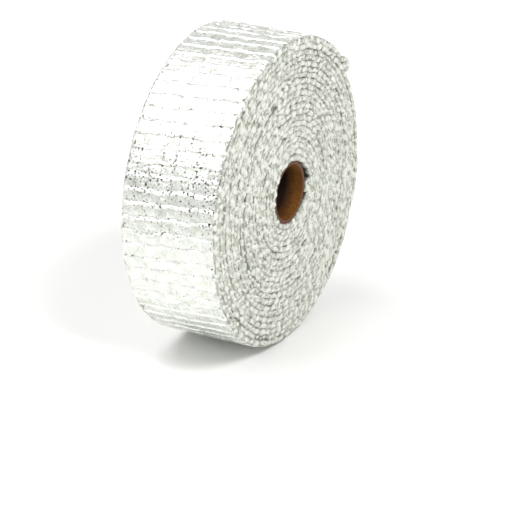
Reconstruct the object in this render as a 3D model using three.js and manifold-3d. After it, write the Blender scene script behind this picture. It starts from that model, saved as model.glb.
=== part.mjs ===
// A roll of foil backed heat tape: one long strip of woven glass fibre, with aluminium foil bonded
// to its outer side, wound on a small cardboard core. Millimetres, +Z up. The roll stands on its
// tread, so its axis lies along Y, and the origin is on the floor under the middle of the roll.
import * as THREE from "three";
import { mergeVertices } from "three/addons/utils/BufferGeometryUtils.js";
import Module from "manifold-3d";

const wasm = await Module();
wasm.setup();

// Cardboard core
const CORE_BORE = 26; // inner diameter
const CORE_WALL = 1.6; // wound paper wall
const CORE_RECESS = 0.4; // each end of the core lies this far inside the tape's edge

// Woven strip
const TAPE_WIDTH = 50; // across the strip, along the roll's axis
const TAPE_THICKNESS = 2.4; // woven fibre and its foil
const TURN_SLACK = 0.3; // air between one turn and the next
const TURNS = 21;
const EDGE_GROOVE = 1.0; // depth of the groove between two turns on the ends
const WINDING_CLEARANCE = 0.3; // between the core and the first turn

// Gap beside the strip's first end, where the second turn climbs over it
const START_ANGLE = 17; // degrees above +X, seen from -Y, of the strip's cut first end
const START_SWEEP = 66; // degrees over which the gap runs out

// Foil on the outermost turn
const FOIL_THICKNESS = 0.4; // over its creases
const FOIL_CLEARANCE = 0.3; // between the woven turn and the foil
const FOIL_MARGIN = 1.0; // bare woven selvedge beside the foil, at each edge

// Hem: the strip's last end, folded back on itself across the tread
const HEM_LENGTH = 9; // along the tread
const HEM_HEIGHT = 2.2; // above the foil
const HEM_SLOPE = 2.0; // length of the rounded run-out at each side of the hem
const HEM_ANGLE = 38; // degrees above +X, seen from -Y, of the middle of the hem
const HEM_LIP = 0.02; // thickness left where the hem's run-out meets the foil

// Fineness
const SEGMENTS = 48; // flats round the roll
const HEM_STEPS = 18; // short sides along the hem's outline
const START_STEPS = 8; // short sides along the gap beside the first end
const CUT_MARGIN = 2; // how far a cutting body runs past the faces it cuts
const WELD_DISTANCE = 1e-4; // corners closer than this are one

const halfWidth = TAPE_WIDTH / 2;
const coreInner = CORE_BORE / 2;
const coreOuter = coreInner + CORE_WALL;
const turnPitch = TAPE_THICKNESS + TURN_SLACK;
const tapeInner = coreOuter + WINDING_CLEARANCE;
const tapeOuter = tapeInner + TURNS * turnPitch;
const foilInner = tapeOuter + FOIL_CLEARANCE;
const foilOuter = foilInner + FOIL_THICKNESS;
const flatShare = Math.cos(Math.PI / SEGMENTS); // a flat's distance from the axis, over its corners'
const axisHeight = foilOuter * flatShare; // the lowest flat rests on the floor

const cardboard = new THREE.MeshStandardMaterial({ color: "#a5713f", roughness: 0.85, metalness: 0 });
const glassFibre = new THREE.MeshStandardMaterial({ color: "#e3e3da", roughness: 0.9, metalness: 0 });
const aluminiumFoil = new THREE.MeshStandardMaterial({ color: "#dcdedd", roughness: 0.3, metalness: 1 });

// Turns a closed outline of [radius, y] points about the Y axis, with a flat facing the floor.
function turned(outline) {
  const points = outline.map(([radius, y]) => new THREE.Vector2(radius, y));
  points.push(points[0].clone());
  return new THREE.LatheGeometry(points, SEGMENTS, Math.PI / SEGMENTS, 2 * Math.PI);
}

// Extrudes an outline in the XZ plane along Y, centred on y = 0.
function acrossRoll(shape, width) {
  const geometry = new THREE.ExtrudeGeometry(shape, { depth: width, bevelEnabled: false });
  return geometry.rotateX(Math.PI / 2).translate(0, width / 2, 0);
}

// A closed geometry as a solid that can be joined and cut.
function solidOf(geometry) {
  const bare = geometry.clone();
  bare.deleteAttribute("normal");
  bare.deleteAttribute("uv");
  const merged = mergeVertices(bare, WELD_DISTANCE);
  return new wasm.Manifold(
    new wasm.Mesh({
      numProp: 3,
      vertProperties: new Float32Array(merged.attributes.position.array),
      triVerts: new Uint32Array(merged.index.array),
    }),
  );
}

// A joined or cut solid as a geometry again.
function geometryOf(solid) {
  const mesh = solid.getMesh();
  const geometry = new THREE.BufferGeometry();
  geometry.setAttribute("position", new THREE.BufferAttribute(mesh.vertProperties, 3));
  geometry.setIndex(new THREE.BufferAttribute(mesh.triVerts, 1));
  geometry.computeVertexNormals();
  return geometry;
}

// The point at a radius and an angle in degrees, in the outline plane of acrossRoll.
function polar(radius, degrees) {
  const angle = THREE.MathUtils.degToRad(degrees);
  return new THREE.Vector2(radius * Math.cos(angle), radius * Math.sin(angle));
}

// A shape between two radii that are functions of the share run from one angle to another.
function bandShape(fromDegrees, toDegrees, steps, innerAt, outerAt) {
  const inner = [];
  const outer = [];
  for (let i = 0; i <= steps; i++) {
    const share = i / steps;
    const degrees = fromDegrees + share * (toDegrees - fromDegrees);
    inner.push(polar(innerAt(share), degrees));
    outer.push(polar(outerAt(share), degrees));
  }
  return new THREE.Shape([...outer, ...inner.reverse()]);
}

// Cardboard tube that the strip is wound on.
function coreTube() {
  const end = halfWidth - CORE_RECESS;
  return turned([
    [coreInner, -end],
    [coreOuter, -end],
    [coreOuter, end],
    [coreInner, end],
  ]);
}

// One end of the wound strip: each turn is a ridge, with a groove on both sides of it.
function endRidges() {
  const ridges = [];
  for (let turn = 0; turn < TURNS; turn++) {
    const inner = tapeInner + turn * turnPitch;
    ridges.push([inner, halfWidth - EDGE_GROOVE]);
    ridges.push([inner + turnPitch / 2, halfWidth]);
  }
  ridges.push([tapeOuter, halfWidth - EDGE_GROOVE]);
  return ridges;
}

// The gap beside the strip's first end: as high as the strip there, and running out to nothing
// where the second turn leaves the core.
function startGap() {
  const shape = bandShape(
    START_ANGLE,
    START_ANGLE + START_SWEEP,
    START_STEPS,
    () => (coreOuter + tapeInner) / 2,
    (share) => tapeInner + TAPE_THICKNESS * (1 - share) ** 2,
  );
  return acrossRoll(shape, TAPE_WIDTH + 2 * CUT_MARGIN);
}

// The wound strip: one turned body with the turns showing on its ends.
function wovenTape() {
  const near = endRidges().map(([radius, y]) => [radius, -y]);
  const far = endRidges().reverse();
  const wound = solidOf(turned([...near, ...far]));
  return geometryOf(wound.subtract(solidOf(startGap())));
}

// The folded end of the strip, rooted inside the foil so that the two join.
function hem() {
  const root = (foilInner + foilOuter * flatShare) / 2;
  const halfAngle = THREE.MathUtils.radToDeg(HEM_LENGTH / 2 / foilOuter);
  const slopeShare = HEM_SLOPE / HEM_LENGTH;
  const rise = (share) => {
    const fromSide = Math.min(share, 1 - share);
    const run = Math.min(1, fromSide / slopeShare);
    return root + (foilOuter + HEM_HEIGHT - root) * Math.sqrt(1 - (1 - run) ** 2);
  };
  const first = HEM_ANGLE - halfAngle;
  const last = HEM_ANGLE + halfAngle;
  const shape = bandShape(first, last, HEM_STEPS, () => root - HEM_LIP, rise);
  return acrossRoll(shape, TAPE_WIDTH - 2 * FOIL_MARGIN);
}

// Foil facing of the outermost turn, with the hem of the strip's last end.
function foilBacking() {
  const edge = halfWidth - FOIL_MARGIN;
  const facing = turned([
    [foilInner, -edge],
    [foilOuter, -edge],
    [foilOuter, edge],
    [foilInner, edge],
  ]);
  return geometryOf(solidOf(facing).add(solidOf(hem())));
}

// A named piece of the roll, on the roll's axis.
function piece(name, geometry, material) {
  const mesh = new THREE.Mesh(geometry, material);
  mesh.name = name;
  return mesh;
}

const roll = new THREE.Group();
roll.position.set(0, 0, axisHeight);
roll.add(piece("core_tube", coreTube(), cardboard));
roll.add(piece("woven_tape", wovenTape(), glassFibre));
roll.add(piece("foil_backing", foilBacking(), aluminiumFoil));

const heatTape = new THREE.Group();
heatTape.add(roll);

export default heatTape;
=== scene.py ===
import math
import random

import bpy
import numpy as np
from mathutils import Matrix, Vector, noise


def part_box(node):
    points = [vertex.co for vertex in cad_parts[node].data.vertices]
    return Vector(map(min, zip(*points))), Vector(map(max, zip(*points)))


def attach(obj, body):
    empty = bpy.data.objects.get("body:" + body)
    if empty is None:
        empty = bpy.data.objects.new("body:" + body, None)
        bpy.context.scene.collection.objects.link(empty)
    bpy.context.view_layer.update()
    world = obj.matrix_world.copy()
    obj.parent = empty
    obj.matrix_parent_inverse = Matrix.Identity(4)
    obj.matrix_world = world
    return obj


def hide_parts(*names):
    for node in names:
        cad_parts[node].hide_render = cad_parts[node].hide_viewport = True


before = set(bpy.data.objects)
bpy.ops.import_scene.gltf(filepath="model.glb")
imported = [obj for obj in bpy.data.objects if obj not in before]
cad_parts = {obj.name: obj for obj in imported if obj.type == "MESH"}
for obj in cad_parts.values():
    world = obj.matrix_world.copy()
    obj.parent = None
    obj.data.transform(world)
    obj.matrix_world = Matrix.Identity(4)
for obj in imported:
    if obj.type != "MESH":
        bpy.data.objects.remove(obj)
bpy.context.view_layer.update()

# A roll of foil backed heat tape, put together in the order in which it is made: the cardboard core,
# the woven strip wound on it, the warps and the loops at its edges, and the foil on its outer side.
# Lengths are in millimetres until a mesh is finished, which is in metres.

# Cardboard core: a tube of kraft paper plies, wound in a helix and glued, and cut square with a
# knife, which leaves its ends pale and a little furred.
MM = 0.001
core_low, core_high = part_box("core_tube")
AXIS_HEIGHT = (core_low.z + core_high.z) / 2 / MM
CORE_OUTER = (core_high.z - core_low.z) / 2 / MM
CORE_WALL = 1.6
CORE_SET_BACK = 1.4  # its ends lie this far inside the solid's
CORE_HALF_LENGTH = core_high.y / MM - CORE_SET_BACK
CORE_SIDES = 128
CORE_RINGS = 48
CORE_EDGE_ROUND = 0.25
PLY_WIDTH = 38.0
PLY_SEAM = 0.025  # share of a ply's width
FLECKS_PER_MM = 0.9
STAINS_PER_MM = 0.12
SHADE_START = 3.0  # from the end, where the painted shade of the bore begins
SHADE_FULL = 9.0
CUT_END = (0.12, 0.02)  # from the end, where the pale cut fibres begin and cover all
BOARD_RELIEF = 0.3
WELD_DISTANCE = 0.001
SMOOTH_ANGLE = math.radians(40)


def linear(colour):
    """An sRGB hex colour as the linear one that a shader takes."""
    parts = [int(colour[i : i + 2], 16) / 255 for i in (1, 3, 5)]
    return [p / 12.92 if p <= 0.04045 else ((p + 0.055) / 1.055) ** 2.4 for p in parts] + [1.0]


def add_node(material, kind, settings, sockets):
    """Adds a node with its settings, sets or links its sockets, and gives its outputs."""
    node = material.node_tree.nodes.new("ShaderNode" + kind)
    for name, value in settings.items():
        setattr(node, name, value)
    for name, value in sockets.items():
        if isinstance(value, bpy.types.NodeSocket):
            material.node_tree.links.new(value, node.inputs[name])
        else:
            node.inputs[name].default_value = value
    return node.outputs


def new_material(name, roughness, metallic):
    """A material with its shader, whose constant numbers are set here."""
    material = bpy.data.materials.new(name)
    material.use_nodes = True
    shader = material.node_tree.nodes["Principled BSDF"]
    shader.inputs["Roughness"].default_value = roughness
    shader.inputs["Metallic"].default_value = metallic
    return material, shader


def select_only(piece):
    """Leaves one object selected and active."""
    bpy.ops.object.select_all(action="DESELECT")
    piece.select_set(True)
    bpy.context.view_layer.objects.active = piece


def points_of(piece):
    """A mesh's points as an array."""
    points = np.empty(len(piece.data.vertices) * 3)
    piece.data.vertices.foreach_get("co", points)
    return points.reshape(-1, 3)


def set_points(piece, points):
    """Moves a mesh's points to the rows of an array."""
    piece.data.vertices.foreach_set("co", np.asarray(points, dtype=np.float32).ravel())
    piece.data.update()


def give_attribute(piece, name, rows):
    """Stores a value for each point: a number, or three."""
    kind, field = ("FLOAT", "value") if rows.ndim == 1 else ("FLOAT_VECTOR", "vector")
    attribute = piece.data.attributes.new(name, kind, "POINT")
    attribute.data.foreach_set(field, rows.astype(np.float32).ravel())


def finish_piece(piece, name, material, slot, *nodes):
    """Names a finished piece, gives it its material and puts it on the roll's body."""
    piece.name = name
    piece.data.name = name
    piece.data.materials.clear()
    piece.data.materials.append(material)
    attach(piece, "root")
    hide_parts(*nodes)


def kraft_board():
    """Kraft board: brown unbleached paper, wound in a helix. The eye gets the seam of the inner ply, the
    darker mottling of the fibres, the paler cut ends and painted shade that darkens the bore further in."""
    material, shader = new_material("kraft_board", 0.82, 0.0)
    shader.inputs["Specular IOR Level"].default_value = 0.3
    place = add_node(material, "TexCoord", {}, {})["Object"]
    on_axis = {"Vector": place, "Location": (0, 0, -AXIS_HEIGHT * MM)}
    centred = add_node(material, "Mapping", {}, on_axis)[0]
    x, y, z = add_node(material, "SeparateXYZ", {}, {0: centred})
    turn = add_node(material, "Math", {"operation": "ARCTAN2"}, {0: z, 1: x})[0]
    plies = add_node(material, "Math", {"operation": "MULTIPLY"}, {0: y, 1: 1 / (PLY_WIDTH * MM)})[0]
    wound_plies = {0: turn, 1: 0.5 / math.pi, 2: plies}
    helix = add_node(material, "Math", {"operation": "MULTIPLY_ADD"}, wound_plies)[0]
    across_ply = add_node(material, "Math", {"operation": "FRACT"}, {0: helix})[0]
    at_seam = {"Value": across_ply, "From Max": PLY_SEAM, "To Min": 1.0, "To Max": 0.0}
    seam = add_node(material, "MapRange", {}, at_seam)[0]
    flecks = {"Vector": centred, "Scale": FLECKS_PER_MM / MM, "Detail": 5.0, "Roughness": 0.65}
    fibres = add_node(material, "TexNoise", {}, flecks)[0]
    mottle = add_node(material, "MapRange", {}, {"Value": fibres, "From Min": 0.3, "From Max": 0.7})[0]
    board = add_node(
        material, "Mix", {"data_type": "RGBA"}, {0: mottle, 6: linear("#693d10"), 7: linear("#91601f")}
    )[2]
    stains = {"Vector": centred, "Scale": STAINS_PER_MM / MM, "Detail": 3.0}
    clouds = add_node(material, "TexNoise", {}, stains)[0]
    in_stain = {"Value": clouds, "From Min": 0.45, "From Max": 0.75, "To Max": 0.45}
    stain = add_node(material, "MapRange", {}, in_stain)[0]
    stained = add_node(material, "Mix", {"data_type": "RGBA"}, {0: stain, 6: board, 7: linear("#4d1f10")})[2]
    away = add_node(material, "Math", {"operation": "ABSOLUTE"}, {0: y})[0]
    # Painted shade: the colour darkens to near-black towards the middle of the bore, where little light
    # reaches.
    into_bore = {
        "Value": away,
        "From Min": (CORE_HALF_LENGTH - SHADE_FULL) * MM,
        "From Max": (CORE_HALF_LENGTH - SHADE_START) * MM,
        "To Min": 0.96,
        "To Max": 0.0,
    }
    shade = add_node(material, "MapRange", {}, into_bore)[0]
    shaded = add_node(material, "Mix", {"data_type": "RGBA"}, {0: shade, 6: stained, 7: linear("#160503")})[2]
    seamed = add_node(material, "Mix", {"data_type": "RGBA"}, {0: seam, 6: shaded, 7: linear("#43200c")})[2]
    at_cut = {
        "Value": away,
        "From Min": (CORE_HALF_LENGTH - CUT_END[0]) * MM,
        "From Max": (CORE_HALF_LENGTH - CUT_END[1]) * MM,
    }
    cut = add_node(material, "MapRange", {}, at_cut)[0]
    finished = add_node(material, "Mix", {"data_type": "RGBA"}, {0: cut, 6: seamed, 7: linear("#64463a")})[2]
    relief = add_node(material, "Math", {"operation": "MULTIPLY_ADD"}, {0: seam, 1: -1.5, 2: fibres})[0]
    raised = {"Height": relief, "Strength": 0.5, "Distance": BOARD_RELIEF * MM}
    bump = add_node(material, "Bump", {}, raised)[0]
    material.node_tree.links.new(finished, shader.inputs["Base Color"])
    material.node_tree.links.new(bump, shader.inputs["Normal"])
    return material


bpy.ops.object.select_all(action="DESELECT")
bpy.ops.mesh.primitive_plane_add(size=1, location=(0, 0, 0))
core = bpy.context.object
core.scale = (CORE_WALL, 2 * CORE_HALF_LENGTH, 1)
bpy.ops.object.transform_apply(location=False, rotation=False, scale=True)
bpy.ops.object.mode_set(mode="EDIT")
bpy.ops.mesh.delete(type="ONLY_FACE")
bpy.ops.object.mode_set(mode="OBJECT")
for edge in core.data.edges:
    ends = [core.data.vertices[i].co for i in edge.vertices]
    edge.select = abs(ends[0].y - ends[1].y) > CORE_WALL
bpy.ops.object.mode_set(mode="EDIT")
bpy.ops.mesh.select_mode(type="EDGE")
bpy.ops.mesh.subdivide(number_cuts=CORE_RINGS)
bpy.ops.object.mode_set(mode="OBJECT")
for vertex in core.data.vertices:
    vertex.select = abs(vertex.co.y) > CORE_HALF_LENGTH - CORE_EDGE_ROUND
bpy.ops.object.mode_set(mode="EDIT")
bpy.ops.mesh.select_mode(type="VERT")
bpy.ops.mesh.bevel(offset=CORE_EDGE_ROUND, segments=2, affect="VERTICES")
bpy.ops.mesh.select_all(action="SELECT")
bpy.ops.transform.translate(value=(CORE_OUTER - CORE_WALL / 2, 0, 0))
bpy.ops.mesh.spin(steps=CORE_SIDES, angle=2 * math.pi, center=(0, 0, 0), axis=(0, 1, 0))
bpy.ops.mesh.select_all(action="SELECT")
bpy.ops.mesh.remove_doubles(threshold=WELD_DISTANCE)
bpy.ops.mesh.normals_make_consistent(inside=False)
bpy.ops.object.mode_set(mode="OBJECT")
set_points(core, (points_of(core) + [0, 0, AXIS_HEIGHT]) * MM)
select_only(core)
bpy.ops.object.shade_smooth_by_angle(angle=SMOOTH_ANGLE)
finish_piece(core, "cardboard_core", kraft_board(), "cardboard", "core_tube")

# Woven strip: bulky glass fibre yarns in a plain weave, 50 mm wide, wound clockwise as seen from the
# front. Both its ends are folded under. Each turn steps up where the one below began, and the first
# turns also climb over the folded first end, which leaves a gap beside the core.
woven_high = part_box("woven_tape")[1]
foil_low, foil_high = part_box("foil_backing")
STRIP_THICKNESS = 2.4
TURN_PITCH = 2.7
WINDING_CLEARANCE = 0.3
FIRST_RADIUS = CORE_OUTER + WINDING_CLEARANCE
LAST_RADIUS = (foil_high.z - foil_low.z) / 2 / MM
FOIL_OUT = 2.75  # from the strip's inner side to the foil
START_ANGLE = -6.0  # degrees above +X, seen from the front, of the strip's first end
HEM_EDGE_ANGLE = 34.4  # of the edge of the folded last end
END_ANGLE = HEM_EDGE_ANGLE + math.degrees(FOIL_OUT / LAST_RADIUS)
LAST_TURN = (START_ANGLE + 360 - END_ANGLE) / 360  # the part of a turn past the whole ones
TURNS = 20 + LAST_TURN
STEP_SWEEP = 66 / 360  # turns over which a turn rises by one pitch
STEP_DRIFT = LAST_TURN - (1 - STEP_SWEEP)  # from the first turn's step to the last one's
DRIFT_TURNS = TURNS - 1.8
FOLD_ARC = math.pi * STRIP_THICKNESS / 2
FLAP = 4.3  # past the fold, under the strip
FOLD_LIFT = 3.0  # of the first turn, over its own flap
HEM_LIFT = 2.4  # of the last end, over its own flap
HEM_SLOPE = 2.2
CLIMB_SWEEP = 88 / 360
FLAP_SWEEP = 20 / 360
DESCENT_SWEEP = 30 / 360
LIFT_TURNS = 5.0  # over which the lift of the first turn fades
OUTER_TURNS = 1.2  # these have no lift left
FOIL_TURNS = 1.004  # the foil shows on these
WAVES = (0.22, 0.16)  # how far the turns lie out of round, in three long waves and in five
WAVE_START = 6.0  # from the core, where the waves are full
EDGE_BEHIND = 0.5  # behind the roll's flat end
EDGE_WANDER = ((0.8, 90, 3.3), (0.6, 19, 7.1))
EDGE_MOST_BEHIND = 1.7
PROUD_SHARE = 0.15  # of that distance, next to the core
PROUD_LENGTH = 450.0
HALF_WIDTH = woven_high.y / MM
BODY_HALF_WIDTH = HALF_WIDTH - 2.3
BODY_INSET = 0.1
BODY_STEP = 3.0
BODY_SIDES = 4
BODY_PAINTED_SHADE = 0.9
TABLE_STEPS = 24000
TABLE_MARGIN = 0.02
STRANDS_PER_MM = (0.35, 3.3, 3.3)  # along the yarn and across it
PATCHES_PER_MM = 0.16
WOOL_PER_MM = 0.8
WOOL_RELIEF = 0.4


def eased(share):
    """A share from 0 to 1, with a smooth start and end."""
    share = np.clip(share, 0, 1)
    return share * share * (3 - 2 * share)


turn_table = np.linspace(0, TURNS + TABLE_MARGIN, TABLE_STEPS)
seat = turn_table + STEP_SWEEP - STEP_DRIFT * (turn_table - 1 + STEP_SWEEP) / DRIFT_TURNS
step_share = (seat - np.floor(seat)) / STEP_SWEEP
radius_table = FIRST_RADIUS + TURN_PITCH * (np.floor(seat) - 1 + eased(step_share))
past_start = turn_table % 1
climb = np.clip((past_start - 1 + CLIMB_SWEEP) / CLIMB_SWEEP, 0, 1) ** 2
descent = 1 - eased((past_start - FLAP_SWEEP) / DESCENT_SWEEP)
fading = np.exp(-np.clip(turn_table - 1, 0, None) / LIFT_TURNS)
bulge = FOLD_LIFT * np.maximum(climb, descent) * fading
radius_table = radius_table + bulge * (turn_table < TURNS - OUTER_TURNS)
turn_steps = 2 * math.pi * np.diff(turn_table) * (radius_table[1:] + STRIP_THICKNESS / 2)
length_table = np.concatenate([[0], np.cumsum(turn_steps)])
STRIP_LENGTH = float(np.interp(TURNS, turn_table, length_table))
OUTER_TURN_START = float(np.interp(TURNS - FOIL_TURNS, turn_table, length_table))
to_hem = (length_table - STRIP_LENGTH + FLAP + HEM_SLOPE) / HEM_SLOPE
radius_table = radius_table + HEM_LIFT * eased(to_hem)


def folded(along, out):
    """Places along and above the wound path, for a strip whose two ends go round a fold and under it."""
    past = np.maximum(-along, along - STRIP_LENGTH)
    bend = np.pi * (0.5 - np.clip(past / FOLD_ARC, 0, 1))
    beyond = out * np.cos(bend) - np.maximum(past - FOLD_ARC, 0)
    on_path = np.clip(along, 0, STRIP_LENGTH)
    outward = np.where(along < 0, -1, 1)
    bent = past > 0
    return np.where(bent, on_path + outward * beyond, along), np.where(bent, out * np.sin(bend), out)


def wound(along, out, across):
    """Points of the flat strip on the roll: along it from its first fold, out from its inner side and
    across it from its middle towards the front."""
    along, out = folded(along, out)
    turns = np.interp(along, length_table, turn_table)
    overhang = np.where(along < 0, along / (FIRST_RADIUS + FOLD_LIFT), 0)
    angle = math.radians(START_ANGLE) - 2 * math.pi * turns - overhang
    radius = np.interp(turns, turn_table, radius_table) + out
    # The turns lie a little out of round, but for those at the core and at the tread.
    inside = 1 - np.clip((radius - FIRST_RADIUS) / (TURNS * TURN_PITCH), 0, 1) ** 5
    slack = WAVES[0] * np.sin(3 * angle + radius / 5) + WAVES[1] * np.sin(5 * angle - radius / 4 + 1)
    radius = radius + slack * inside * np.clip((radius - FIRST_RADIUS) / WAVE_START, 0, 1)
    return np.stack([radius * np.cos(angle), -across, AXIS_HEIGHT + radius * np.sin(angle)], 1)


def stations(step, fold_steps=8, flap_steps=4):
    """Places along the whole strip, closer together round its two folds."""
    flap = np.linspace(FOLD_ARC + FLAP, FOLD_ARC, flap_steps, endpoint=False)
    fold = np.linspace(FOLD_ARC, 0, fold_steps, endpoint=False)
    straight = np.linspace(0, STRIP_LENGTH, round(STRIP_LENGTH / step))
    first = np.concatenate([flap, fold])
    return np.concatenate([-first, straight, STRIP_LENGTH + first[::-1]])


def flat_strip(places, rows):
    """A flat grid with a line of points for each place along the strip, and that many rows of faces. Gives
    the object, and each point's place along the strip and share of the way over the rows."""
    bpy.ops.object.select_all(action="DESELECT")
    bpy.ops.mesh.primitive_grid_add(x_subdivisions=len(places) - 1, y_subdivisions=rows, size=1)
    strip = bpy.context.object
    flat = points_of(strip)
    column = np.rint((flat[:, 0] + 0.5) * (len(places) - 1)).astype(int)
    return strip, np.asarray(places)[column], np.rint((flat[:, 1] + 0.5) * rows) / rows


def close_mesh(piece):
    """Joins a rolled up grid's seam, fills its two open ends and turns its faces outward."""
    select_only(piece)
    bpy.ops.object.mode_set(mode="EDIT")
    bpy.ops.mesh.select_all(action="SELECT")
    bpy.ops.mesh.remove_doubles(threshold=WELD_DISTANCE * MM)
    bpy.ops.mesh.select_all(action="DESELECT")
    bpy.ops.mesh.select_non_manifold()
    bpy.ops.mesh.edge_face_add()
    bpy.ops.mesh.select_all(action="SELECT")
    bpy.ops.mesh.normals_make_consistent(inside=False)
    bpy.ops.object.mode_set(mode="OBJECT")


def uneven(points, size, seed=0.0):
    """Smooth noise from -1 to 1 at each point, with lumps of about that size."""
    rows = (np.asarray(points, dtype=float) / size + seed).tolist()
    return np.array([noise.noise(row) for row in rows])


def layered(points, layers):
    """The sum of layers of noise, each with its height, the size of its lumps and its seed."""
    return sum(height * uneven(points, size, seed) for height, size, seed in layers)


def edge_shift(along, side):
    """How far each stretch of the strip's edge lies behind the roll's flat end. Each edge has its own."""
    line = np.stack([along, 0 * along + 400 * side, 0 * along], 1)
    shift = np.clip(EDGE_BEHIND + layered(line, EDGE_WANDER), 0.0, EDGE_MOST_BEHIND)
    return shift * (PROUD_SHARE + (1 - PROUD_SHARE) * eased(along / PROUD_LENGTH))


def glass_fibre():
    """Woven E-glass: bright white strands. The eye gets fine strands along each yarn, a soft sheen and
    painted shade, a grey-green colour in the hollows and on the undersides. Strands of 0.3 mm stand for finer
    ones."""
    material, shader = new_material("woven_glass_fibre", 0.5, 0.0)
    shader.inputs["Specular IOR Level"].default_value = 0.5
    shader.inputs["Sheen Weight"].default_value = 0.15
    yarn = add_node(material, "Attribute", {"attribute_name": "yarn"}, {})["Vector"]
    painted_shade_and_tone = add_node(material, "Attribute", {"attribute_name": "painted_shade_and_tone"}, {})["Fac"]
    place = add_node(material, "TexCoord", {}, {})["Object"]
    strands = add_node(material, "Mapping", {}, {"Vector": yarn, "Scale": STRANDS_PER_MM})[0]
    fine = add_node(material, "TexNoise", {}, {"Vector": strands, "Scale": 1.0, "Detail": 3.0})[0]
    patchy = {"Vector": place, "Scale": PATCHES_PER_MM / MM, "Detail": 2.0}
    patches = add_node(material, "TexNoise", {}, patchy)[0]
    woolly = {"Vector": place, "Scale": WOOL_PER_MM / MM, "Detail": 3.0, "Roughness": 0.6}
    wool = add_node(material, "TexNoise", {}, woolly)[0]
    patch = add_node(material, "MapRange", {}, {"Value": patches, "From Min": 0.35, "From Max": 0.7})[0]
    white = add_node(
        material, "Mix", {"data_type": "RGBA"}, {0: patch, 6: linear("#faf9f3"), 7: linear("#eceee4")}
    )[2]
    on_strand = {"Value": fine, "From Min": 0.35, "From Max": 0.7, "To Max": 0.3}
    streak = add_node(material, "MapRange", {}, on_strand)[0]
    streaked = add_node(
        material, "Mix", {"data_type": "RGBA"}, {0: streak, 6: white, 7: linear("#b9bfb0")}
    )[2]
    # Painted shade: the colour turns grey-green in the hollows and on the undersides, as the stored shade
    # value and the woolly noise give it.
    deep = add_node(material, "Math", {"operation": "MULTIPLY_ADD"}, {0: wool, 1: -1.6, 2: painted_shade_and_tone})[0]
    painted_hollow_shade = add_node(material, "MapRange", {}, {"Value": deep, "From Min": -0.65, "From Max": 0.14})[0]
    shaded = add_node(
        material, "Mix", {"data_type": "RGBA"}, {0: painted_hollow_shade, 6: streaked, 7: linear("#6a705a")}
    )[2]
    relief = add_node(material, "Math", {"operation": "MULTIPLY_ADD"}, {0: wool, 1: 2.0, 2: fine})[0]
    raised = {"Height": relief, "Strength": 0.9, "Distance": WOOL_RELIEF * MM}
    bump = add_node(material, "Bump", {}, raised)[0]
    material.node_tree.links.new(shaded, shader.inputs["Base Color"])
    material.node_tree.links.new(bump, shader.inputs["Normal"])
    return material


fibre = glass_fibre()
body, along, share = flat_strip(stations(BODY_STEP), BODY_SIDES)
side_of_strip = np.rint(share * BODY_SIDES) % BODY_SIDES
on_inner_side = (side_of_strip == 0) | (side_of_strip == 3)
out = np.where(on_inner_side, BODY_INSET, STRIP_THICKNESS - BODY_INSET)
across = np.where(side_of_strip < 2, -BODY_HALF_WIDTH, BODY_HALF_WIDTH)
give_attribute(body, "yarn", np.stack([along, out, across], 1))
# Painted shade: the strip's body is coloured as a deep grey-green hollow.
give_attribute(body, "painted_shade_and_tone", np.full(len(along), BODY_PAINTED_SHADE))
set_points(body, wound(along, out, across) * MM)
close_mesh(body)
bpy.ops.object.shade_smooth_by_angle(angle=SMOOTH_ANGLE)
finish_piece(body, "woven_strip", fibre, "glass_fibre_cloth", "woven_tape")

# Selvedge warps: at each edge of the strip the last warp yarn, a fat soft bundle, runs the whole
# length just inside the loops that hold it. It fills the strip's thickness, so that two turns part
# only in a thin dark line, where the bundle is drawn tight.
WARP_STEP = 1.7
WARP_SIDES = 10
WARP_HALF_THICK = 1.5
WARP_MOST_THICK = 1.45
WARP_HALF_DEEP = 1.3
WARP_BEHIND = 2.5
WARP_SQUARE = 0.45  # 1 is a round section, and less is a squarer one
WARP_ROUND = 3.0  # radius at which its lumps are read
LUMP_SIZES = (2.8, 1.3)
LUMP_HEIGHTS = (0.35, 0.2)  # shares of its thickness
TIGHT_LENGTH = 17
TIGHT_SHARE = 0.4  # of its thickness, lost where it is drawn tight


def selvedge_warp(name, side):
    """The outermost warp yarn at the front edge, side 1, or the back edge, side -1."""
    warp, along, share = flat_strip(stations(WARP_STEP), WARP_SIDES)
    turn = share * 2 * math.pi
    cos = np.sign(np.cos(turn)) * np.abs(np.cos(turn)) ** WARP_SQUARE
    sin = np.sign(np.sin(turn)) * np.abs(np.sin(turn)) ** WARP_SQUARE
    around = np.stack([along, WARP_ROUND * np.cos(turn), WARP_ROUND * np.sin(turn)], 1)
    lump = 1 + layered(around, zip(LUMP_HEIGHTS, LUMP_SIZES, (11.0 * side, 23.0 * side)))
    line = np.stack([along, 0 * along + 90 * side, 0 * along], 1)
    tight = 1 - TIGHT_SHARE * np.clip(uneven(line, TIGHT_LENGTH, 1.7) * 2.5 - 0.9, 0, 1)
    half_thick = np.clip(WARP_HALF_THICK * lump * cos, -WARP_MOST_THICK, WARP_MOST_THICK)
    out = STRIP_THICKNESS / 2 + half_thick * tight
    inset = HALF_WIDTH - WARP_BEHIND - edge_shift(along, side)
    across = side * (inset + WARP_HALF_DEEP * lump * sin)
    give_attribute(warp, "yarn", np.stack([along, turn, 0 * turn], 1))
    # Painted shade: the deeper it lies, the greyer its colour, as on its side towards the strip.
    give_attribute(warp, "painted_shade_and_tone", np.clip(0.5 - 1.2 * (lump - 1) + 0.5 * (1 - sin), 0, 1.4))
    set_points(warp, wound(along, out, across) * MM)
    close_mesh(warp)
    bpy.ops.object.shade_smooth()
    finish_piece(warp, name, fibre, "glass_fibre_cloth", "woven_tape")


selvedge_warp("front_selvedge_warp", 1)
selvedge_warp("back_selvedge_warp", -1)

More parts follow.
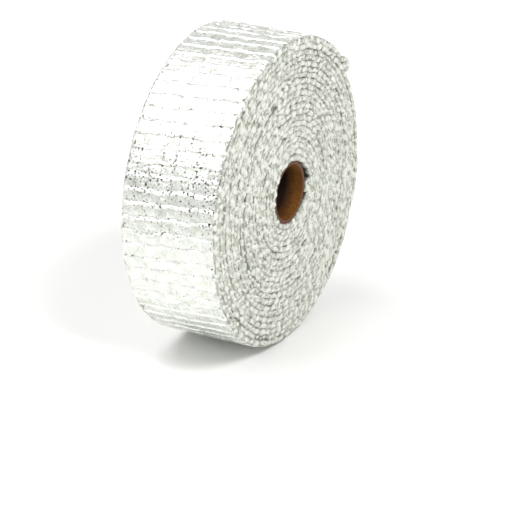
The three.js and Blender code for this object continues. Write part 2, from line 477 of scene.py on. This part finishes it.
# Selvedge loops: where each weft turns back it lies slantwise over the last warp as a plump loop of
# untwisted yarn, about one every 6 mm along both edges. Thinner tufts between them are its loose
# plies.
LOOP_SPACING = (4.6, 7.2)
LOOP_SIZE = (2.6, 1.3, 1.4)  # half lengths along the yarn, through the strip and off the roll's end
LOOP_SLANT = 22
LOOP_FINENESS = (10, 8)  # faces round it and along it
LOOP_SUNK = 0.0
LOOP_SEED = 41
TUFT_SPACING = (2.6, 6.4)
TUFT_SIZE = (1.5, 0.6, 0.8)
TUFT_SLANT = 26
TUFT_FINENESS = (7, 6)
TUFT_SUNK = 0.15
TUFT_SEED = 61
END_ROOM = 2.0  # between the strip's cut ends and the nearest yarn end
PLUMPNESS = 2.4  # 2 is an ellipsoid, and more has blunter ends
PLY_DEPTH = 0.09
PLY_TWIST = 2.2
SIZE_RANGE = (0.72, 1.2)
SLANT_SPREAD = 16
LIFT_SPREAD = 0.35
MOST_BOW = 0.08
SAG = 0.09
YARN_SHIFT = 17  # between the strands of one yarn end and those of the next
FUZZ = ((0.22, 0.9), (0.2, 2.0))  # height and size of the lumps
FUZZ_SEEDS = (0.3, 1.7)  # out from the roll's axis, and up from its end
TOP_ROOM = 0.4  # between the fullest yarn end and the roll's flat end
INNER_ROOM = 0.3  # how far a yarn end may stand in and out of the strip's thickness
OUTER_ROOM = 0.6


def yarn_hump(fineness):
    """A plump spindle of three plies, one unit long from its middle: the object, the angle of each point
    round it and the points."""
    bpy.ops.object.select_all(action="DESELECT")
    bpy.ops.mesh.primitive_uv_sphere_add(segments=fineness[0], ring_count=fineness[1], radius=1)
    hump = bpy.context.object
    ball = points_of(hump)
    turn = np.arctan2(ball[:, 1], ball[:, 0])
    plump = np.maximum(1 - np.abs(ball[:, 2]) ** PLUMPNESS, 0) ** 0.5
    plies = 1 + PLY_DEPTH * np.cos(3 * turn + PLY_TWIST * ball[:, 2])
    thick = plump * plies
    return hump, turn, np.stack([ball[:, 2], thick * np.cos(turn), thick * np.sin(turn)], 1)


def yarn_ends(name, side, spacing, size, slant, fineness, sunk, seed):
    """A row of short yarn humps along one edge, each a copy of one modelled hump with its own size, slant
    and place."""
    draw = random.Random(seed)
    humps, turn, master = yarn_hump(fineness)
    places = []
    place = -FOLD_ARC - FLAP + END_ROOM
    while place < STRIP_LENGTH + FOLD_ARC + FLAP - END_ROOM:
        places.append(place)
        place += draw.uniform(*spacing)
    repeat = humps.modifiers.new("repeat", "ARRAY")
    repeat.count = len(places)
    select_only(humps)
    bpy.ops.object.modifier_apply(modifier=repeat.name)
    rows, yarn, painted_shade_and_tone = [], [], []
    for i, place in enumerate(places):
        shape = master * [axis * draw.uniform(*SIZE_RANGE) for axis in size]
        angle = math.radians(slant + draw.gauss(0, SLANT_SPREAD))
        bow = draw.uniform(-MOST_BOW, MOST_BOW)
        lift = draw.gauss(0, LIFT_SPREAD)
        drop = abs(draw.gauss(0, LIFT_SPREAD)) + sunk
        shape[:, 2] -= SAG * shape[:, 0] ** 2 + drop
        shape[:, 1] += bow * shape[:, 0] ** 2
        cos, sin = math.cos(angle), math.sin(angle)
        along = place + shape[:, 0] * cos - shape[:, 1] * sin
        out = STRIP_THICKNESS / 2 + lift + shape[:, 0] * sin + shape[:, 1] * cos
        rows.append(np.stack([along, out, shape[:, 2]], 1))
        yarn.append(np.stack([shape[:, 0] + YARN_SHIFT * i, turn * 1.2, 0 * turn], 1))
        # Each yarn end has its own tone, and painted shade makes it greyer towards its underside.
        painted_shade_and_tone.append(np.clip(0.2 + draw.uniform(-0.3, 0.35) - 0.7 * master[:, 2], -0.3, 1))
    rows = np.concatenate(rows)
    fuzz_out, fuzz_up = (
        layered(rows, [(height, lump, seed + 5 * i + start) for i, (height, lump) in enumerate(FUZZ)])
        for start in FUZZ_SEEDS
    )
    out = np.clip(rows[:, 1] + fuzz_out, -INNER_ROOM, STRIP_THICKNESS + OUTER_ROOM)
    top = HALF_WIDTH - size[2] - TOP_ROOM - edge_shift(rows[:, 0], side)
    across = side * (top + rows[:, 2] + fuzz_up)
    give_attribute(humps, "yarn", np.concatenate(yarn))
    give_attribute(humps, "painted_shade_and_tone", np.concatenate(painted_shade_and_tone))
    set_points(humps, wound(rows[:, 0], out, across) * MM)
    select_only(humps)
    bpy.ops.object.mode_set(mode="EDIT")
    bpy.ops.mesh.select_all(action="SELECT")
    bpy.ops.mesh.normals_make_consistent(inside=False)
    bpy.ops.object.mode_set(mode="OBJECT")
    bpy.ops.object.shade_smooth()
    finish_piece(humps, name, fibre, "glass_fibre_cloth", "woven_tape")


loop = (LOOP_SPACING, LOOP_SIZE, LOOP_SLANT, LOOP_FINENESS, LOOP_SUNK)
tuft = (TUFT_SPACING, TUFT_SIZE, TUFT_SLANT, TUFT_FINENESS, TUFT_SUNK)
for edge_name, side in (("front", 1), ("back", -1)):
    yarn_ends(edge_name + "_selvedge_loops", side, *loop, LOOP_SEED + side)
    yarn_ends(edge_name + "_selvedge_tufts", side, *tuft, TUFT_SEED + side)

# Foil: thin aluminium, glued to the strip's outer side and pressed over the weave, so that it stands
# in creases along every weft and warp and lies as a flat panel between them. Winding cracks it, and
# it goes with the strip over the hem of the last end.
FOIL_UNDER = 2.45
FOIL_MARGIN = 1.5
FOIL_HALF_WIDTH = HALF_WIDTH - FOIL_MARGIN
FOIL_TUCK = 3.0  # past the fold of the last end
FOIL_SMOOTH_ANGLE = math.radians(35)
UNDER_ROWS = 3  # points across the foil's hidden underside
UNDER_SHARE = 0.97
RIB_SPACING = 6.2
RIB_SKEW = math.tan(math.radians(4.5))
RIB_STEPS = [0, 0.22, 0.5, 1.0, 1.7, 2.4, 3.1, 3.8, 4.5, 5.2, 5.7, 5.98]
RIB_WANDER = ((0.9, 9, 2.0), (0.7, 4.0, 4.0))
COLUMNS = 8
COLUMN_WIDTH = 2 * FOIL_HALF_WIDTH / COLUMNS
COLUMN_STEPS = [0, 0.22, 0.55, 1.1, 1.9, 2.7, 3.4, 4.2, 4.9, 5.4, 5.78]
COLUMN_WANDER = ((0.45, 8, 6.0), (0.25, 3.0, 8.0))
SIDE_ROOM = 2.0  # beside the foil's edges, where the columns run straight
TUCK_ROOM = 20.0  # before the foil's end, where the ribs run straight
END_FADE = 30.0
CREASE_WIDTH = 0.46
RIB_STRENGTH = (0.65, 0.7)  # mean and unevenness of the creases
COLUMN_STRENGTH = (0.3, 1.2)
STRENGTH_LENGTH = 5.0
CELL_SHIFT = 3.7  # between the unevenness of one crease and that of the next
RIB_CREASE = 0.62
COLUMN_CREASE = 0.15
HIGHEST_CREASE = 0.48
LOWEST_DENT = 0.25
RIB_DENT = (0.12, 0.8, 0.35)  # depth, place and width of the dip beside a rib
PANEL_RISE = 0.02
PANEL_LIFTS = 0.05
PANEL_TILTS = (0.4, 0.18)
FINE_CRUMPLE = (0.07, 1.6)  # height and size
COARSE_CRUMPLE = (0.1, 3.2)
EDGE_ROUND = 1.2
EDGE_DROP = 0.25
EDGE_RELIEF = 0.3  # share of the creases' height that is left at the edge
EDGE_RAG = ((0.5, 5, 2.2), (0.3, 1.9, 5.2))
EDGE_RAG_MEAN = 0.5
# Painted highlight along the creases: its width, and its mean strength and unevenness.
RIDGE_WIDTH = 0.75
COLUMN_RIDGE_WIDTH = 0.5
RIDGE_HIGHLIGHT = (0.6, 1.3)  # mean and unevenness of the painted highlight on the ridges
RIDGE_HIGHLIGHT_LENGTH = 4.0
COLUMN_HIGHLIGHT = 0.8
SPLIT_ANGLE = 160  # degrees above +X, seen from the front, where the foil is worn most
SPLIT_SWEEP = 22
SPLIT_SHARES = (0.25, 0.9)  # all round, and more where it is worn
SPLIT_ZONES = (0.5, 0.3, 0.2)  # anywhere, more beside a rib and more beside a column
SPLIT_RIB_GAP = 0.7
SPLIT_COLUMN_GAP = 0.6
SPLIT_PATCHES = ((0.8, 8, 12.0), (0.3, 2.5, 14.0))
CRUMPLES_PER_MM = 0.65
TINTS_PER_MM = 0.2
FOLD_HIGHLIGHTS_PER_MM = 0.42
SPLITS_PER_MM = 0.95
CRUMPLE_RELIEF = 0.6


def aluminium_foil():
    """Crinkled aluminium foil: bright rolled metal with a fine crumple. The eye gets mirror-like grey and
    white panels, a painted highlight that whitens the ridges and thin fold lines, and dark specks where the
    foil has split, painted near-black as shade in the cracks. The crumple of 1.5 mm stands for a finer one."""
    material, shader = new_material("aluminium_foil", 0.3, 1.0)
    weave = add_node(material, "Attribute", {"attribute_name": "weave"}, {})["Vector"]
    crack = add_node(material, "Attribute", {"attribute_name": "crack"}, {})["Fac"]
    ridge_highlight = add_node(material, "Attribute", {"attribute_name": "ridge_highlight"}, {})["Fac"]
    place = add_node(material, "TexCoord", {}, {})["Object"]
    crumpled = {"Vector": place, "Scale": CRUMPLES_PER_MM / MM, "Detail": 5.0, "Roughness": 0.62}
    crumple = add_node(material, "TexNoise", {}, crumpled)[0]
    tints = {"Vector": place, "Scale": TINTS_PER_MM / MM, "Detail": 2.0}
    soft = add_node(material, "TexNoise", {}, tints)[0]
    tint = add_node(material, "MapRange", {}, {"Value": soft, "From Min": 0.3, "From Max": 0.7})[0]
    panels = add_node(
        material, "Mix", {"data_type": "RGBA"}, {0: tint, 6: linear("#e8eae6"), 7: linear("#cfd2c8")}
    )[2]
    # Painted highlight: thin fold lines and the ridges are whitened in the base colour.
    fold_highlight_noise = add_node(material, "TexNoise", {}, {"Vector": weave, "Scale": FOLD_HIGHLIGHTS_PER_MM, "Detail": 2.0})[0]
    from_fold = add_node(material, "Math", {"operation": "SUBTRACT"}, {0: fold_highlight_noise, 1: 0.5})[0]
    fold_gap = add_node(material, "Math", {"operation": "ABSOLUTE"}, {0: from_fold})[0]
    at_fold_highlight = {"Value": fold_gap, "From Min": 0.004, "From Max": 0.03, "To Min": 0.6, "To Max": 0.0}
    fold = add_node(material, "MapRange", {}, at_fold_highlight)[0]
    painted_highlight = add_node(material, "Math", {"operation": "MAXIMUM"}, {0: ridge_highlight, 1: fold})[0]
    metal = add_node(material, "Mix", {"data_type": "RGBA"}, {0: painted_highlight, 6: panels, 7: linear("#fbfbf9")})[2]
    # Splits: where the foil has split, the colour is painted near-black, as shade inside the crack.
    speck = add_node(material, "TexNoise", {}, {"Vector": weave, "Scale": SPLITS_PER_MM, "Detail": 1.5})[0]
    broken = {0: crack, 1: 0.215, 2: speck}
    split = add_node(material, "Math", {"operation": "MULTIPLY_ADD"}, broken)[0]
    split_with_painted_shade = add_node(material, "MapRange", {}, {"Value": split, "From Min": 0.77, "From Max": 0.8})[0]
    coloured = add_node(
        material, "Mix", {"data_type": "RGBA"}, {0: split_with_painted_shade, 6: metal, 7: linear("#24261c")}
    )[2]
    dulled = {"Value": crumple, "From Min": 0.3, "From Max": 0.7, "To Min": 0.18, "To Max": 0.36}
    rough = add_node(material, "MapRange", {}, dulled)[0]
    raised = {"Height": crumple, "Strength": 0.6, "Distance": CRUMPLE_RELIEF * MM}
    bump = add_node(material, "Bump", {}, raised)[0]
    material.node_tree.links.new(coloured, shader.inputs["Base Color"])
    material.node_tree.links.new(rough, shader.inputs["Roughness"])
    material.node_tree.links.new(bump, shader.inputs["Normal"])
    return material


foil_length = STRIP_LENGTH + FOLD_ARC + FOIL_TUCK - OUTER_TURN_START
ribs = int(foil_length / RIB_SPACING) + 1
rib_places = np.array([i * RIB_SPACING + step for i in range(ribs) for step in RIB_STEPS])
rib_places = rib_places[rib_places <= foil_length]
column_places = [i * COLUMN_WIDTH + step for i in range(COLUMNS) for step in COLUMN_STEPS]
column_places = np.array(column_places + [2 * FOIL_HALF_WIDTH])
top_rows = len(column_places)
all_rows = top_rows + UNDER_ROWS
foil, rib_line, share = flat_strip(rib_places, all_rows)
row = np.rint(share * all_rows).astype(int)
row = np.where(row == all_rows, 0, row)
on_top = row < top_rows
across_line = column_places[np.where(on_top, row, 0)] - FOIL_HALF_WIDTH
flat_places = np.stack([rib_line, across_line, 0 * rib_line], 1)

# Each rib and column is a line of the grid, and the whole grid wanders with the yarns under it.
side_room = np.clip((FOIL_HALF_WIDTH - np.abs(across_line)) / SIDE_ROOM, 0, 1)
end_room = np.clip(np.minimum(rib_line, foil_length - TUCK_ROOM - rib_line) / END_FADE, 0, 1)
along_line = rib_line + (across_line * RIB_SKEW + layered(flat_places, RIB_WANDER)) * end_room
stray = layered(flat_places, COLUMN_WANDER) * side_room
rib_phase = rib_line % RIB_SPACING
rib_gap = np.minimum(rib_phase, RIB_SPACING - rib_phase)
column_phase = (across_line + FOIL_HALF_WIDTH) % COLUMN_WIDTH
column_gap = np.minimum(column_phase, COLUMN_WIDTH - column_phase)
rib_share = rib_phase / RIB_SPACING - 0.5
column_share = column_phase / COLUMN_WIDTH - 0.5
cell_rib = (rib_line // RIB_SPACING).astype(int)
cell_column = np.clip((across_line + FOIL_HALF_WIDTH) // COLUMN_WIDTH, 0, COLUMNS).astype(int)

# The creases stand up with their own strength along each rib and column, and each panel between
# them has its own lift and tilts.
tilt = np.random.default_rng(5).normal(0, 1, (ribs + 1, COLUMNS + 1, 3))[cell_rib, cell_column]
panel = (1 - (2 * rib_share) ** 4) * (1 - (2 * column_share) ** 4)
along_rib = np.stack([cell_rib * CELL_SHIFT, across_line / STRENGTH_LENGTH, 0 * rib_line], 1)
along_column = np.stack([rib_line / STRENGTH_LENGTH, cell_column * CELL_SHIFT, 0 * rib_line], 1)
rib_strength = RIB_STRENGTH[0] + RIB_STRENGTH[1] * uneven(along_rib, 1.0, 0.5)
column_strength = COLUMN_STRENGTH[0] + COLUMN_STRENGTH[1] * uneven(along_column, 1.0, 1.5)
rise = RIB_CREASE * np.clip(rib_strength, 0.15, 1.2) * np.exp(-((rib_gap / CREASE_WIDTH) ** 2))
rise += COLUMN_CREASE * np.clip(column_strength, 0, 1.2) * np.exp(-((column_gap / CREASE_WIDTH) ** 2))
panel_tilt = PANEL_TILTS[0] * tilt[:, 0] * rib_share + PANEL_TILTS[1] * tilt[:, 1] * column_share
rise += panel * (PANEL_RISE + PANEL_LIFTS * tilt[:, 2] + panel_tilt)
dent_depth, dent_place, dent_width = RIB_DENT
rise -= dent_depth * np.exp(-(((rib_gap - dent_place) / dent_width) ** 2))
rise += FINE_CRUMPLE[0] * uneven(flat_places * [1, 1.5, 1], FINE_CRUMPLE[1], 9.0)
rise += COARSE_CRUMPLE[0] * uneven(flat_places, COARSE_CRUMPLE[1], 3.0)
rise = np.clip(rise, -LOWEST_DENT, HIGHEST_CREASE)

# The foil splits in patches near the ribs, mostly on one worn stretch, and its ridges get a painted
# highlight.
angle = START_ANGLE - 360 * np.interp(OUTER_TURN_START + along_line, length_table, turn_table)
worn = np.exp(-((((angle - SPLIT_ANGLE + 180) % 360 - 180) / SPLIT_SWEEP) ** 2))
beside_rib = np.exp(-(((rib_gap - SPLIT_RIB_GAP) / SPLIT_RIB_GAP) ** 2))
beside_column = np.exp(-((column_gap / SPLIT_COLUMN_GAP) ** 2))
crack_zone = SPLIT_ZONES[0] + SPLIT_ZONES[1] * beside_rib + SPLIT_ZONES[2] * beside_column
crack_share = SPLIT_SHARES[0] + SPLIT_SHARES[1] * worn + layered(flat_places, SPLIT_PATCHES)
crack = np.clip(crack_zone * crack_share, 0, 1)
ridge_highlight_strength = np.clip(RIDGE_HIGHLIGHT[0] + RIDGE_HIGHLIGHT[1] * uneven(flat_places, RIDGE_HIGHLIGHT_LENGTH, 16.0), 0, 1)
ridge_highlight = np.exp(-((rib_gap / RIDGE_WIDTH) ** 2)) * ridge_highlight_strength
column_highlight_strength = COLUMN_HIGHLIGHT * np.clip(column_strength, 0, 1)
column_ridge_highlight = np.exp(-((column_gap / COLUMN_RIDGE_WIDTH) ** 2)) * column_highlight_strength

# Its edges are ragged and lie down on the weave, and its underside is plain.
edge_room = np.clip((FOIL_HALF_WIDTH - np.abs(across_line)) / EDGE_ROUND, 0, 1)
out = FOIL_OUT + rise * (EDGE_RELIEF + (1 - EDGE_RELIEF) * edge_room) - EDGE_DROP * (1 - edge_room) ** 2
out = np.where(on_top, out, FOIL_UNDER)
edge_line = np.stack([rib_line, 30 * np.sign(across_line), 0 * rib_line], 1)
narrowed = 1 - (EDGE_RAG_MEAN + layered(edge_line, EDGE_RAG)) / FOIL_HALF_WIDTH
under_line = FOIL_HALF_WIDTH * (1 - (row - top_rows)) * UNDER_SHARE
across = np.where(on_top, (across_line + stray) * narrowed, under_line)
placed = wound(OUTER_TURN_START + np.clip(along_line, 0, foil_length), out, across)
placed[:, 2] = np.maximum(placed[:, 2], 0)
give_attribute(foil, "weave", np.stack([along_line, across_line, 0 * rib_line], 1))
give_attribute(foil, "crack", np.where(on_top, crack, 0))
give_attribute(foil, "ridge_highlight", np.maximum(ridge_highlight, column_ridge_highlight))
set_points(foil, placed * MM)
close_mesh(foil)
bpy.ops.object.shade_smooth_by_angle(angle=FOIL_SMOOTH_ANGLE)
finish_piece(foil, "foil_facing", aluminium_foil(), "aluminium_foil", "foil_backing")

# Floor and studio: a plain pale floor, four soft lights round the roll and an even pale sky, and a
# long lens at the photograph's angle.
FLOOR_SIZE = 6.0
SKY_STRENGTH = 0.4
ROLL_RADIUS = AXIS_HEIGHT * MM
CAMERA_BACK = (-13.444, -7.245, 6.273)  # from the roll's centre, in its radii
CAMERA_PITCH = math.radians(24.02)
CAMERA_HEADING = math.atan2(-0.8833, 0.4688)
LENS = 180
SENSOR = 36


def pale_floor():
    """Matte white studio board."""
    material, shader = new_material("studio_board", 0.75, 0.0)
    shader.inputs["Base Color"].default_value = linear("#fbfbfa")
    return material


bpy.ops.object.select_all(action="DESELECT")
bpy.ops.mesh.primitive_plane_add(size=FLOOR_SIZE, location=(0, 0, 0))
floor = bpy.context.object
floor.name = "studio_floor"
floor.data.materials.append(pale_floor())


def soft_light(name, place, target, size, watts):
    """A square soft light that faces a point. Its place and size are in metres."""
    data = bpy.data.lights.new(name, "AREA")
    data.size = size
    data.energy = watts
    light = bpy.data.objects.new(name, data)
    bpy.context.scene.collection.objects.link(light)
    light.location = place
    aim = Vector(target) - Vector(place)
    light.rotation_euler = aim.to_track_quat("-Z", "Y").to_euler()


centre = (0, 0, AXIS_HEIGHT * MM)
soft_light("overhead_softbox", (-0.1, 0.5, 1.35), centre, 1.0, 9)
soft_light("left_softbox", (-0.95, 0.6, 0.95), centre, 1.0, 6)
soft_light("front_softbox", (-0.35, -0.9, 1.2), centre, 0.5, 14)
soft_light("back_softbox", (1.1, 0.6, 0.6), centre, 0.9, 2)

world = bpy.data.worlds.new("studio")
world.use_nodes = True
world.node_tree.nodes["Background"].inputs["Color"].default_value = linear("#f7f8f7")
world.node_tree.nodes["Background"].inputs["Strength"].default_value = SKY_STRENGTH
bpy.context.scene.world = world
bpy.context.scene.view_settings.view_transform = "Standard"

camera_data = bpy.data.cameras.new("photo_camera")
camera_data.lens = LENS
camera_data.sensor_width = SENSOR
camera = bpy.data.objects.new("photo_camera", camera_data)
bpy.context.scene.collection.objects.link(camera)
camera.location = [ROLL_RADIUS * back + middle for back, middle in zip(CAMERA_BACK, centre)]
camera.rotation_euler = (math.pi / 2 - CAMERA_PITCH, 0, CAMERA_HEADING)
bpy.context.scene.camera = camera
